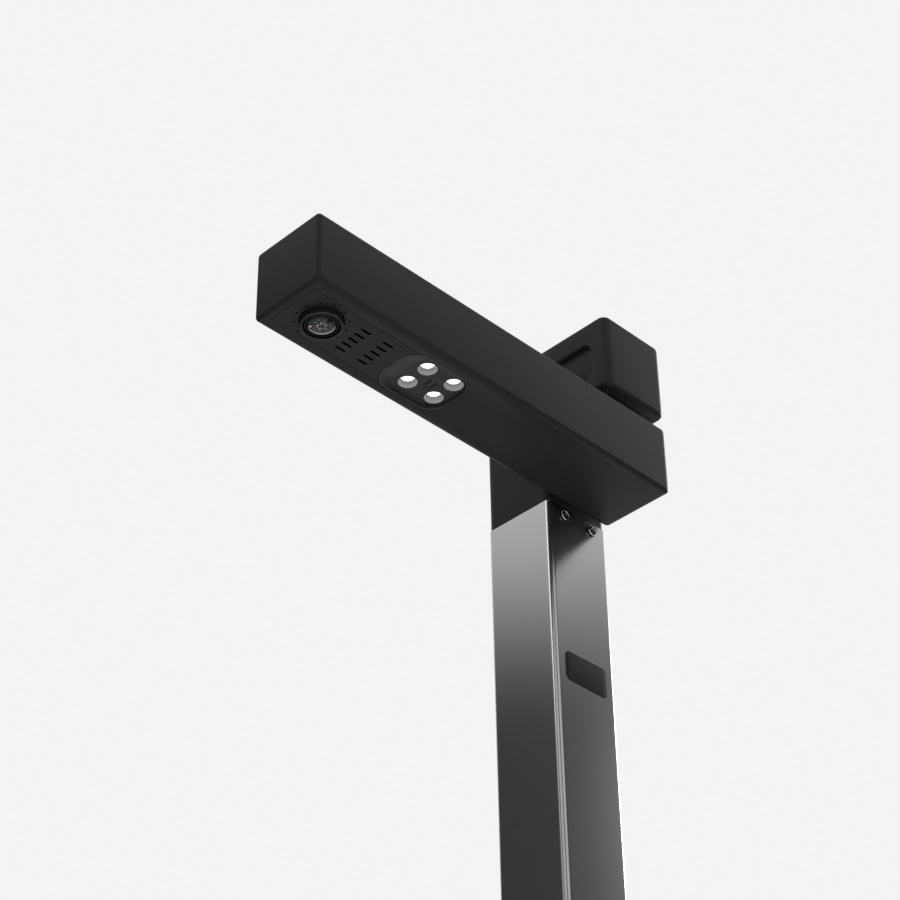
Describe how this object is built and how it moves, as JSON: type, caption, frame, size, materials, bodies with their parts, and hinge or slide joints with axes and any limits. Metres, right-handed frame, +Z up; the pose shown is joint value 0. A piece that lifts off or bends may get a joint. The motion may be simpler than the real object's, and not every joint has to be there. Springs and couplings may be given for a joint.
{
  "type": "document scanner",
  "caption": "Overhead document scanner: a boxy camera head with lens and lamps folds down beside a square column under a cap, on a flat weighted base.",
  "frame": {"origin": "on the desk, on the rubber sole's underside, under the middle of the column", "axes": "+Z up; -Y the way the camera head reaches out, to the front; +X the side of the column on which the head lies"},
  "size_m": [0.1501, 0.3025, 0.442],
  "materials": {
    "housing": "fine matte texture",
    "dark_trim": "smooth satin",
    "lens_metal": "satin black anodised",
    "lens_glass": "coated glass",
    "lamp": "lit lamp",
    "tray": "satin reflector",
    "column": "brushed along its length",
    "steel": "zinc plated",
    "casting": "die cast",
    "ballast": "painted",
    "bearing": "sintered bronze",
    "washer": "low-friction plastic",
    "board": "circuit board",
    "sole": "matte rubber"
  },
  "bodies": {
    "stand": {"hinge_shaft": "steel", "thrust_washer": "washer", "friction_washer": "bearing", "disc_springs": "steel", "hinge_nut": "steel", "elbow_core": "casting", "elbow_housing": "housing", "cap_shell": "housing", "cap_floor": "housing", "cap_front_panel": "housing", "cap_bracket": "steel", "cap_screws": "steel", "column_tube": "column", "column_screws": "steel", "column_pad": "dark_trim", "column_foot": "casting", "foot_screws": "steel", "base_cover": "housing", "base_plate": "steel", "base_screws": "steel", "rubber_sole": "sole", "ballast_block": "ballast", "key_board": "board", "main_board": "board", "usb_port": "steel"},
    "head": {"head_shell": "housing", "head_top_cover": "housing", "belly_cover": "housing", "lens_collar": "lens_metal", "lens_ring": "lens_metal", "front_glass": "lens_glass", "iris_ring": "dark_trim", "inner_lens": "lens_glass", "lens_holder": "dark_trim", "image_sensor": "board", "camera_board": "board", "lamp_tray": "tray", "lamps": "lamp", "lamp_board": "board", "lamp_heatsink": "column", "head_chassis": "steel", "processor_board": "board", "hinge_carrier": "casting", "carrier_screws": "steel", "hinge_bushes": "bearing"},
    "scan_key": {"scan_button": "dark_trim"},
    "power_key": {"power_button": "dark_trim"}
  },
  "joints": [
    {"name": "head_fold", "type": "hinge", "parent": "stand", "child": "head", "pos_m": [0.04655, 0.0015, 0.366], "axis": [1, 0, 0], "range_deg": [0, 90]},
    {"name": "scan_press", "type": "slide", "parent": "stand", "child": "scan_key", "axis": [0, 0, -1], "range_m": [0, 0.0008], "stiffness_N_per_m": 600, "springref_m": -0.001},
    {"name": "power_press", "type": "slide", "parent": "stand", "child": "power_key", "axis": [0, 0, -1], "range_m": [0, 0.0008], "stiffness_N_per_m": 600, "springref_m": -0.001}
  ]
}
